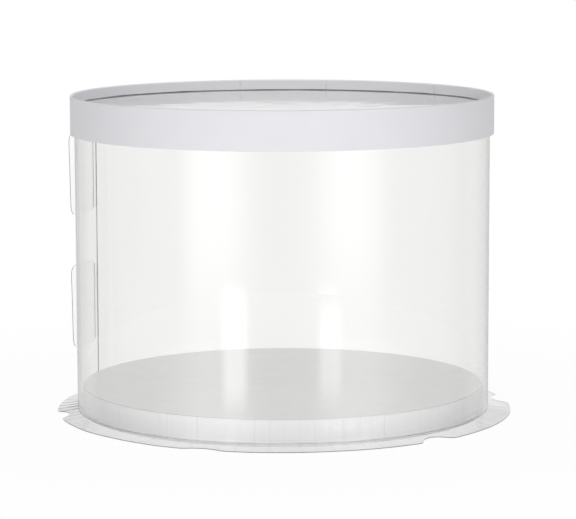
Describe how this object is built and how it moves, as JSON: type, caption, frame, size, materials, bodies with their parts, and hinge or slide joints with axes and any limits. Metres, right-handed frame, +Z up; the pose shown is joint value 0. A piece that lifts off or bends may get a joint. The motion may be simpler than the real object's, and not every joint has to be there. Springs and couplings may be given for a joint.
{
  "type": "round cake container",
  "caption": "Round cake box: a white board platform on a clear notched brim, a clear rolled wall closed by lock tabs, and a white lift-off lid with a sunk clear window.",
  "frame": {"origin": "centre of the box on the table it stands on", "axes": "+Z up along the axis of the box, -Y towards the camera of the picture"},
  "size_m": [0.2812, 0.2812, 0.1957],
  "materials": {
    "white_board": "matte",
    "clear_sheet": "clear gloss"
  },
  "bodies": {
    "base": {"platform_top": "white_board", "platform_band": "white_board", "platform_hoop": "white_board", "brim": "clear_sheet"},
    "wall": {"wall_sheet": "clear_sheet"},
    "lid": {"lid_band": "white_board", "lid_liner": "white_board", "lid_window": "clear_sheet"},
    "upper_tab": {"upper_lock_tab": "clear_sheet"},
    "lower_tab": {"lower_lock_tab": "clear_sheet"}
  },
  "joints": [
    {"name": "wall_lift", "type": "slide", "parent": "base", "child": "wall", "axis": [0, 0, 1], "range_m": [0, 0.2]},
    {"name": "lid_lift", "type": "slide", "parent": "wall", "child": "lid", "axis": [0, 0, 1], "range_m": [0, 0.06]},
    {"name": "upper_tab_swing", "type": "hinge", "parent": "wall", "child": "upper_tab", "pos_m": [-0.12077, 0.044, 0.1445], "axis": [0, 0, -1], "range_deg": [0, 80], "stiffness_Nm_per_rad": 0.002},
    {"name": "lower_tab_swing", "type": "hinge", "parent": "wall", "child": "lower_tab", "pos_m": [-0.12077, 0.044, 0.061], "axis": [0, 0, -1], "range_deg": [0, 80], "stiffness_Nm_per_rad": 0.002}
  ]
}
